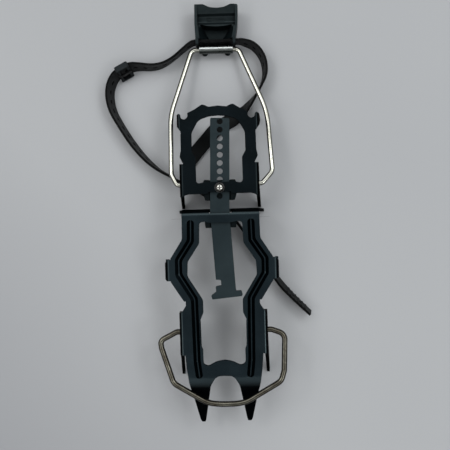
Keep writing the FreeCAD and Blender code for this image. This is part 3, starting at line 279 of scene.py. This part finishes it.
MATERIALS = {
    # the front and heel coats are lit and shaded copies of one coating
    "coat": coated_steel(
        "coated_steel_front_lit", dark=(0.0045, 0.0085, 0.0120), light=(0.0105, 0.0175, 0.0225),
        rough=(0.15, 0.22), specular=0.55),
    # painted shade: the heel coat is the front coat made darker and less glossy, as the heel
    # lies under a dimmer overhead
    "coat_heel_shaded": coated_steel(
        "coated_steel_heel_shaded", dark=(0.0006, 0.0016, 0.0028), light=(0.0026, 0.0050, 0.0074),
        rough=(0.16, 0.24), specular=0.32, wear=0.25),
    "bar": coated_steel(
        "coated_steel_bar", dark=(0.0150, 0.0225, 0.0265), light=(0.0245, 0.0350, 0.0395),
        rough=(0.20, 0.28), specular=0.60, wear=0.45),
    "guide": coated_steel(
        "coated_steel_guide", dark=(0.0008, 0.0014, 0.0018), light=(0.0026, 0.0038, 0.0044),
        rough=(0.30, 0.42), specular=0.2, wear=0.25),
    "heel_wire": bare_metal(
        "stainless_wire", base=(0.74, 0.73, 0.65), second=(0.58, 0.57, 0.49),
        rough=(0.10, 0.20)),
    "toe_wire": bare_metal(
        "tarnished_wire", base=(0.215, 0.205, 0.165), second=(0.105, 0.096, 0.076),
        rough=(0.17, 0.30), stain=(0.07, 0.052, 0.036), stain_amount=0.75, mottle=75),
    "screw": bare_metal(
        "plated_screw", base=(0.74, 0.73, 0.68), second=(0.50, 0.49, 0.45),
        rough=(0.12, 0.28), stain=(0.16, 0.14, 0.12), stain_amount=0.4, mottle=200),
    "washer": bare_metal(
        "dark_washer", base=(0.10, 0.10, 0.10), second=(0.05, 0.05, 0.05),
        rough=(0.3, 0.45), stain=(0.03, 0.03, 0.03), stain_amount=0.4, mottle=200),
    # the hinge plate's toe-facing side carries painted shade
    "hinge": bare_metal(
        "hinge_plate_steel", base=(0.93, 0.96, 0.94), second=(0.82, 0.86, 0.84),
        rough=(0.22, 0.36), stain=(0.20, 0.21, 0.19), stain_amount=0.2, mottle=120, toe_side_shade=0.92),
    "lever": moulded(
        "lever_plastic", dark=(0.0044, 0.0072, 0.0083), light=(0.0092, 0.0134, 0.0150),
        rough=(0.28, 0.40), grain=1400),
    "buckle": moulded(
        "buckle_plastic", dark=(0.0150, 0.0168, 0.0185), light=(0.0250, 0.0270, 0.0290),
        rough=(0.36, 0.5), grain=1800),
    "strap": strap_skin(
        "strap_polyurethane", dark=(0.0048, 0.0054, 0.0058), light=(0.0105, 0.0112, 0.0118),
        specular=0.22),
    # darker skin for the free end; on the diagonal, under the bar and the heel frame, it is
    # painted shade
    "strap_tail": strap_skin(
        "strap_darker_tail_shaded_diagonal", dark=(0.0022, 0.0030, 0.0033), light=(0.0062, 0.0076, 0.0080),
        specular=0.12),
    # painted shade: near-black skin for the strap's side walls and hole walls, and for its
    # ridges
    "strap_edge_shade": strap_skin(
        "strap_shaded_edge", dark=(0.0010, 0.0013, 0.0015), light=(0.0030, 0.0034, 0.0037),
        specular=0.10),
}

# ---------------------------------------------------------------- frame parts
# part: (material, edge rounding in mm)
PART_LOOKS = {
    "front_frame": ("coat", 0.45), "heel_frame": ("coat_heel_shaded", 0.35),
    "link_bar": ("bar", 0.25),
    "front_bar_guide": ("guide", 0.2), "rear_bar_guide": ("guide", 0.2),
    "adjuster_screw": ("screw", 0.12), "adjuster_washer": ("washer", 0.12),
    "adjuster_nut": ("screw", 0.2),
    "toe_bail": ("toe_wire", 0.0), "heel_bail": ("heel_wire", 0.0),
    "heel_lever": ("lever", 0.45), "lever_hinge_plate": ("hinge", 0.12),
    "lever_rivets": ("hinge", 0.2),
    "buckle_frame": ("buckle", 0.3), "buckle_prong": ("washer", 0.2),
}


def round_edges(thing, width_mm, angle):
    """Rounds edges sharper than the angle in degrees, then evens the shading."""
    bevel = thing.modifiers.new("rounded_edges", "BEVEL")
    bevel.width = width_mm * MM
    bevel.segments = 2
    bevel.limit_method = "ANGLE"
    bevel.angle_limit = math.radians(angle)
    thing.modifiers.new("even_shading", "WEIGHTED_NORMAL").weight = 60


def dress_part(part, material, rounding):
    slots = part.data.materials
    if slots:
        for i in range(len(slots)):
            slots[i] = material
    else:
        slots.append(material)
    part.modifiers.new("join_faces", "WELD").merge_threshold = 2e-6
    if rounding:
        round_edges(part, rounding, angle=32)


for part_name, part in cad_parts.items():
    if part_name in PART_LOOKS:
        look, rounding = PART_LOOKS[part_name]
        dress_part(part, MATERIALS[look], rounding)

# ---------------------------------------------------------------- strap, in mm
WIDTH = 12.0
HALF_WIDTH = WIDTH / 2
THICKNESS = 2.0
CLEARANCE = 0.15              # between the strap's lowest edge and the table
FACE_SINK = 0.10              # the faces lie this far inside the full thickness
RIM_RISE = 0.12               # both long edges stand this much above the faces
RIM_START = 0.78              # where the rims start, as a share of the half width
HOLE_HALF_LENGTH, HOLE_HALF_WIDTH = 2.0, 0.85
HOLE_CELL = 3.0               # half length of the mesh patch around a hole
HOLE_MARGIN = 3.2             # least distance from a hole's centre to a piece's end
HOLE_PITCH = 8.3
MESH_STEP = 1.5
SAMPLES_PER_STATION = 24
# mesh columns across the strap, as shares of the half width
ACROSS = [-1.0, -0.86, -0.74, -0.4, 0.0, 0.4, 0.74, 0.86, 1.0]
STRIPS = list(zip(ACROSS, ACROSS[1:]))
# ridge section: distance along the strap, height over its face
RIDGE_SECTION = ((-1.15, -0.25), (-0.55, 0.62), (0.45, 0.62), (1.15, -0.25))
RIDGE_REACH = 0.97            # half length of a ridge, as a share of the half width

# The strap is one band. Its stations run from the free end, under the frame, round the loop
# and back to the tucked end. Columns: x, y, tilt in degrees (0 flat, 90 on edge), extra height.
STATIONS = [
    (73.0, -86.4, 79, 0), (59.6, -73.1, 76, 0), (48.4, -60.4, 73, 0), (40.2, -48.0, 80, 0),
    (31.6, -34.3, 86, 0), (17.9, -14.6, 88, 0), (9.6, -3.6, 88, 0), (3.6, 2.4, 88, 0),
    (-2.8, 7.9, 88, 0), (-13.6, 15.6, 88, 0), (-26.1, 23.0, 88, 0), (-36.2, 28.95, 88, 0),
    (-42.6, 32.9, 87, 0), (-51.2, 37.9, 85, 0), (-59.5, 44.8, 79, 0), (-66.9, 52.8, 76, 0),
    (-73.4, 61.4, 74, 0), (-79.3, 70.6, 74, 0), (-84.4, 79.4, 73, 0), (-88.9, 88.3, 72, 0),
    (-91.3, 97.1, 70, 0), (-91.6, 105.9, 69, 0), (-89.4, 113.2, 67, 0.8),
    (-85.0, 119.4, 66, 1.75), (-78.9, 122.6, 66, 1.75), (-73.2, 125.6, 66, 1.75),
    (-66.4, 126.4, 75, 0.5), (-57.1, 125.8, 80, 0), (-50.3, 126.4, 84, 0),
    (-44.1, 128.5, 89, 0), (-37.1, 132.6, 93, 0.2), (-29.3, 138.6, 92, 1.0),
    (-23.9, 142.4, 90, 1.9), (-18.9, 144.6, 89, 2.42), (-9.0, 144.5, 89, 2.45),
    (0.0, 144.4, 89, 2.45), (9.0, 144.5, 89, 2.45), (18.9, 144.6, 87, 2.42),
    (24.1, 143.6, 80, 1.9), (30.0, 141.4, 76, 1.0), (35.3, 136.5, 74, 0.3),
    (39.1, 129.1, 74.5, 0), (40.3, 120.7, 77, 0), (39.4, 114.2, 80, 0), (37.2, 108.6, 85, 0),
    (34.5, 103.7, 87, 0), (30.9, 98.4, 80, 0), (26.5, 92.95, 68, 0), (22.0, 87.9, 56, 0),
    (16.2, 82.6, 28, 0), (10.8, 79.6, 8, 0), (5.0, 76.8, 0, 0), (-2.9, 72.2, 0, 0),
    (-11.3, 63.1, 0, 0), (-19.6, 53.9, 0, 0), (-25.4, 47.0, 0, 0), (-28.0, 43.8, 0, 0)]


def catmull_rom(p0, p1, p2, p3, u):
    """The curve between p1 and p2 at u from 0 to 1."""
    return 0.5 * ((2 * p1) + (-p0 + p2) * u + (2 * p0 - 5 * p1 + 4 * p2 - p3) * u * u
                  + (-p0 + 3 * p1 - 3 * p2 + p3) * u ** 3)


def smooth_stations(stations, per_station):
    smooth = []
    last = len(stations) - 1
    for i in range(last):
        around = [stations[j] for j in (max(i - 1, 0), i, i + 1, min(i + 2, last))]
        for step in range(per_station):
            smooth.append(tuple(catmull_rom(*four, step / per_station)
                                for four in zip(*around)))
    smooth.append(stations[-1])
    return smooth


class StrapPath:
    """The strap's centre line with its tilt, sampled by arc length."""

    def __init__(self, stations):
        smooth = smooth_stations(stations, SAMPLES_PER_STATION)
        self.samples = []         # (centre, direction across, direction through)
        for i, (x, y, tilt, extra) in enumerate(smooth):
            before, after = smooth[max(i - 1, 0)], smooth[min(i + 1, len(smooth) - 1)]
            dx, dy = after[0] - before[0], after[1] - before[1]
            run = math.hypot(dx, dy)
            side_x, side_y = -dy / run, dx / run
            cos, sin = math.cos(math.radians(tilt)), math.sin(math.radians(tilt))
            z = (WIDTH * abs(sin) + THICKNESS * abs(cos)) / 2 + CLEARANCE + extra
            self.samples.append((Vector((x, y, z)),
                                 Vector((side_x * cos, side_y * cos, sin)),
                                 Vector((-side_x * sin, -side_y * sin, cos))))
        self.reaches = [0.0]
        for last, here in zip(self.samples, self.samples[1:]):
            self.reaches.append(self.reaches[-1] + (here[0] - last[0]).length)
        self.length = self.reaches[-1]

    def at(self, s):
        """Centre, direction across and direction through at arc length s."""
        s = max(0.0, min(self.length, s))
        i = min(bisect_right(self.reaches, s) - 1, len(self.reaches) - 2)
        share = (s - self.reaches[i]) / max(1e-9, self.reaches[i + 1] - self.reaches[i])
        centre, across, through = (
            a.lerp(b, share) for a, b in zip(self.samples[i], self.samples[i + 1]))
        return centre, across.normalized(), through.normalized()

    def reach(self, x, y):
        """Arc length of the sample nearest to x, y."""
        def gap(i):
            centre = self.samples[i][0]
            return (centre.x - x) ** 2 + (centre.y - y) ** 2
        return self.reaches[min(range(len(self.samples)), key=gap)]


BAND = StrapPath(STATIONS)


class StrapMesh:
    """Quads laid out in the strap's own plane (s along, t across) and wrapped on its path."""

    def __init__(self):
        self.bm = bmesh.new()
        self.verts = {}

    def vert(self, s, t, top):
        key = (round(s, 3), round(t, 3), top)
        if key not in self.verts:
            centre, across, through = BAND.at(s)
            rim = RIM_RISE if abs(t) > RIM_START else 0.0
            height = (THICKNESS / 2 + (rim - FACE_SINK)) * (1 if top else -1)
            self.verts[key] = self.bm.verts.new(
                (centre + across * (t * HALF_WIDTH) + through * height) * MM)
        return self.verts[key]

    def both_faces(self, *quads):
        """Adds the quads to the top face and, turned over, to the bottom face."""
        for top in (True, False):
            for corners in quads:
                verts = [self.vert(s, t, top) for s, t in corners]
                self.bm.faces.new(verts if top else verts[::-1])

    def strips(self, s0, s1, strips):
        for t0, t1 in strips:
            self.both_faces([(s0, t0), (s1, t0), (s1, t1), (s0, t1)])

    def plain(self, start, end):
        """A stretch without holes."""
        steps = max(1, int(round((end - start) / MESH_STEP)))
        for i in range(steps):
            self.strips(start + (end - start) * i / steps,
                        start + (end - start) * (i + 1) / steps, STRIPS)

    def hole(self, centre):
        """An oval hole in a patch, with rim strips beside it."""
        rows = [centre - HOLE_CELL + 2 * HOLE_CELL * i / 4 for i in range(5)]
        outer = [(s, ACROSS[2]) for s in rows]
        outer += [(rows[4], t) for t in ACROSS[3:7]]
        outer += [(s, ACROSS[6]) for s in rows[3::-1]]
        outer += [(rows[0], t) for t in ACROSS[5:2:-1]]
        oval = []
        for s, t in outer:
            # 0.55 spreads the points evenly round the oval
            angle = math.atan2(t * HALF_WIDTH / HOLE_HALF_WIDTH * 0.55,
                               (s - centre) / HOLE_HALF_LENGTH)
            oval.append((centre + HOLE_HALF_LENGTH * math.cos(angle),
                         HOLE_HALF_WIDTH * math.sin(angle) / HALF_WIDTH))
        # a ring between the two, nearer the oval
        middle = [tuple(a * 0.35 + b * 0.65 for a, b in zip(*pair))
                  for pair in zip(outer, oval)]
        for i in range(len(outer)):
            j = (i + 1) % len(outer)
            self.both_faces((outer[i], outer[j], middle[j], middle[i]),
                            (middle[i], middle[j], oval[j], oval[i]))
            wall = [self.vert(*oval[i], True), self.vert(*oval[j], True),
                    self.vert(*oval[j], False), self.vert(*oval[i], False)]
            self.bm.faces.new(wall[::-1]).material_index = 1
        for s0, s1 in zip(rows, rows[1:]):
            self.strips(s0, s1, STRIPS[:2] + STRIPS[6:])

    def close_sides(self):
        """Walls along the long edges and the ends."""
        key_of = {vert: key for key, vert in self.verts.items()}
        for edge in [e for e in self.bm.edges if len(e.link_faces) == 1]:
            first, second = edge.verts
            s0, t0, top0 = key_of[first]
            s1, t1, top1 = key_of[second]
            if top0 and top1:
                wall = (first, second, self.verts[s1, t1, False], self.verts[s0, t0, False])
                self.bm.faces.new(wall).material_index = 1
        bmesh.ops.recalc_face_normals(self.bm, faces=self.bm.faces)

    def ridge(self, s):
        """A low ridge across the face that looks up, its feet sunk into the strap."""
        pairs = []
        for along, height in RIDGE_SECTION:
            centre, across, through = BAND.at(s + along)
            up = 1.0 if through.z > 0 else -1.0
            rise = through * (up * (THICKNESS / 2 - FACE_SINK + height))
            pairs.append([
                self.bm.verts.new((centre + across * (t * HALF_WIDTH) + rise) * MM)
                for t in (-RIDGE_REACH, RIDGE_REACH)])
        outlines = [(a[0], b[0], b[1], a[1]) for a, b in zip(pairs, pairs[1:] + pairs[:1])]
        outlines.append([pair[0] for pair in pairs][::-1])
        outlines.append([pair[1] for pair in pairs])
        faces = [self.bm.faces.new(outline) for outline in outlines]
        bmesh.ops.recalc_face_normals(self.bm, faces=faces)
        for face in faces:
            face.material_index = 1


TAIL_END = BAND.reach(17.9, -14.6)
BAR_END = BAND.reach(-2.8, 7.9)
HEEL_END = BAND.reach(-36.2, 28.95)
BUCKLE = BAND.reach(-85.0, 119.4)
LEVER_LEFT = BAND.reach(-18.9, 144.6)
LEVER_MIDDLE = BAND.reach(0.0, 144.4)
LEVER_RIGHT = BAND.reach(18.9, 144.6)
RIGHT_TURN = BAND.reach(38.4, 111.4)
DIAGONAL = BAND.reach(26.5, 92.95)

# two holes near the free end, then a row from the heel run on, set out from the lever
HOLES = [4.0 + HOLE_PITCH * k for k in (1, 2)]
HOLES += [hole for hole in (LEVER_MIDDLE + HOLE_PITCH * k for k in range(-26, 8))
          if HEEL_END < hole]


def strap_piece(name, start, end, replaced=None, ridges=(), skin="strap"):
    """The strap from arc length start to end, standing in for a CAD piece if one is named."""
    build = StrapMesh()
    holes = [h for h in HOLES if start + HOLE_MARGIN < h < end - HOLE_MARGIN]
    starts = [start] + [h + HOLE_CELL for h in holes]
    ends = [h - HOLE_CELL for h in holes] + [end]
    for plain_start, plain_end in zip(starts, ends):
        build.plain(plain_start, plain_end)
    for centre in holes:
        build.hole(centre)
    build.close_sides()
    for s in ridges:
        build.ridge(s)
    mesh = bpy.data.meshes.new(name)
    build.bm.to_mesh(mesh)
    build.bm.free()
    for polygon in mesh.polygons:
        polygon.use_smooth = True
    piece = bpy.data.objects.new(name, mesh)
    bpy.context.scene.collection.objects.link(piece)
    mesh.materials.append(MATERIALS[skin])
    # second slot: the near-black painted-shade skin for walls and ridges
    mesh.materials.append(MATERIALS["strap_edge_shade"])
    round_edges(piece, 0.38, angle=50)
    if replaced:
        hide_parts(replaced)
    return piece


# Each piece rides on one part or bends between two; start and end are in metres.
piece = strap_piece("strap_tail_shown", 0.0, TAIL_END, "strap_tail",
                    ridges=[7.0 + 4.1 * k for k in range(6)], skin="strap_tail")
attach(piece, "front_section")
piece = strap_piece("strap_under_bar_shown", TAIL_END, BAR_END, "strap_under_bar")
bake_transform(piece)
piece = strap_piece("strap_heel_run_shown", BAR_END, HEEL_END, "strap_heel_run")
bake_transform(piece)
piece = strap_piece("strap_left_loop_shown", HEEL_END, BUCKLE, "strap_left_loop")
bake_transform(piece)
piece = strap_piece("strap_top_run_shown", BUCKLE, LEVER_LEFT, "strap_top_run")
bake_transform(piece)
piece = strap_piece("strap_in_lever_shown", LEVER_LEFT, LEVER_RIGHT, "strap_in_lever")
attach(piece, "heel_lever")
piece = strap_piece("strap_right_loop_shown", LEVER_RIGHT, RIGHT_TURN, "strap_right_loop")
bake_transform(piece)
piece = strap_piece("strap_right_return_shown", RIGHT_TURN, DIAGONAL)
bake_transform(piece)
# painted shade: the diagonal lies under the bar and the heel frame and takes the darker skin
piece = strap_piece("strap_diagonal_shown", DIAGONAL, BAND.length, "strap_diagonal",
                    skin="strap_tail")
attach(piece, "heel_section")


# ---------------------------------------------------------------- table
def table_top():
    """Pale grey, with painted shade making it darker towards the -X, -Y side."""
    k = Material("table_top")
    clouds = k.patches(scale=3.0, detail=2, rough=0.5, span=(0.3, 0.7))
    colour = k.mix(clouds, (0.560, 0.568, 0.585), (0.590, 0.598, 0.612))
    specks = k.patches(scale=700, detail=4, rough=0.6, span=(0.35, 0.75), to=(0.0, 0.10))
    colour = k.mix(specks, colour, (0.50, 0.49, 0.50))
    place = k.node("SeparateXYZ", {0: k.position}).outputs
    slant = k.math("ADD", k.math("MULTIPLY", place["X"], 1.1), place["Y"])
    corner_shade = k.ramp(k.math("MULTIPLY", slant, -1.0), span=(0.12, 0.42), to=(0.0, 0.55))
    k.bump(scale=900, detail=3, rough=0.6, strength=0.06, distance=0.0003)
    return k.finish({
        "Base Color": k.mix(corner_shade, colour, (0.345, 0.350, 0.372)),
        "Roughness": 0.62,
        "Specular IOR Level": 0.25})


FLOOR_HALF = 1.6
FLOOR_Z = -0.0002
floor_mesh = bpy.data.meshes.new("floor")
floor_mesh.from_pydata(
    [(x * FLOOR_HALF, y * FLOOR_HALF, FLOOR_Z) for x, y in ((-1, -1), (1, -1), (1, 1), (-1, 1))],
    [], [(0, 1, 2, 3)])
floor_mesh.materials.append(table_top())
floor = bpy.data.objects.new("floor", floor_mesh)
bpy.context.scene.collection.objects.link(floor)

# ---------------------------------------------------------------- lights
LIGHT_DISTANCE = 1.4
LIGHT_SIZE = 0.30
# name, azimuth and elevation in degrees, power in watts, colour
LIGHTS = [
    ("soft_left_front", 205, 50, 0.7, (1.0, 0.985, 0.97)),
    ("soft_right_front", -25, 50, 1.2, (0.95, 0.985, 1.0)),
    ("soft_right_back", 35, 52, 1.4, (0.95, 0.985, 1.0)),
    ("soft_left_back", 145, 52, 1.4, (1.0, 0.99, 0.975)),
]


def area_light(name, azimuth, elevation, power, colour):
    """A square light aimed at the origin."""
    light = bpy.data.lights.new(name, "AREA")
    light.energy = power
    light.color = colour
    light.size = LIGHT_SIZE
    turn, rise = math.radians(azimuth), math.radians(elevation)
    place = Vector((LIGHT_DISTANCE * math.cos(rise) * math.cos(turn),
                    LIGHT_DISTANCE * math.cos(rise) * math.sin(turn),
                    LIGHT_DISTANCE * math.sin(rise)))
    lamp = bpy.data.objects.new(name, light)
    lamp.location = place
    lamp.rotation_euler = (Vector((0, 0, 0)) - place).to_track_quat("-Z", "Y").to_euler()
    bpy.context.scene.collection.objects.link(lamp)


for light_row in LIGHTS:
    area_light(*light_row)


def studio_world():
    """Dim overhead, a broad bright ring of ceiling around it, and dark walls."""
    world = bpy.data.worlds.new("studio")
    bpy.context.scene.world = world
    world.use_nodes = True
    k = Nodes(world.node_tree)
    output = k.node("OutputWorld")
    background = k.node("Background", {"Color": (0.965, 0.99, 1.0)})
    view = k.node("SeparateXYZ", {0: k.node("TexCoord").outputs["Generated"]}).outputs

    def squared(value):
        return k.math("POWER", k.math("ABSOLUTE", value, 0.0), 2.0)

    def smooth(value, span, to):
        return k.ramp(value, span, to, interpolation_type="SMOOTHSTEP")

    off_centre = k.math("ADD", squared(view["X"]),
                        squared(k.math("SUBTRACT", view["Y"], 0.02)))
    ring = smooth(k.math("SQRT", off_centre, 0.0), span=(0.33, 0.46), to=(0.15, 1.02))
    walls = smooth(view["Z"], span=(0.42, 0.66), to=(0.0, 1.0))
    side = smooth(view["Y"], span=(-0.5, 0.35), to=(0.62, 1.30))
    level = k.math("MULTIPLY", k.math("MULTIPLY", ring, walls), side)
    k.feed(background.inputs["Strength"], k.math("ADD", level, 0.03))
    k.feed(output.inputs[0], background.outputs[0])


studio_world()

# ---------------------------------------------------------------- camera, looking down
lens = bpy.data.cameras.new("camera")
lens.lens = 50.0
lens.sensor_width = 36.0
lens.shift_x = -0.04
lens.clip_start = 0.01
lens.clip_end = 20.0
camera = bpy.data.objects.new("camera", lens)
camera.location = (0.017876, -0.010119, 0.536)
camera.rotation_euler = (0.0, 0.0, math.radians(-1.65))
bpy.context.scene.collection.objects.link(camera)
bpy.context.scene.camera = camera
bpy.context.scene.view_settings.view_transform = "Standard"
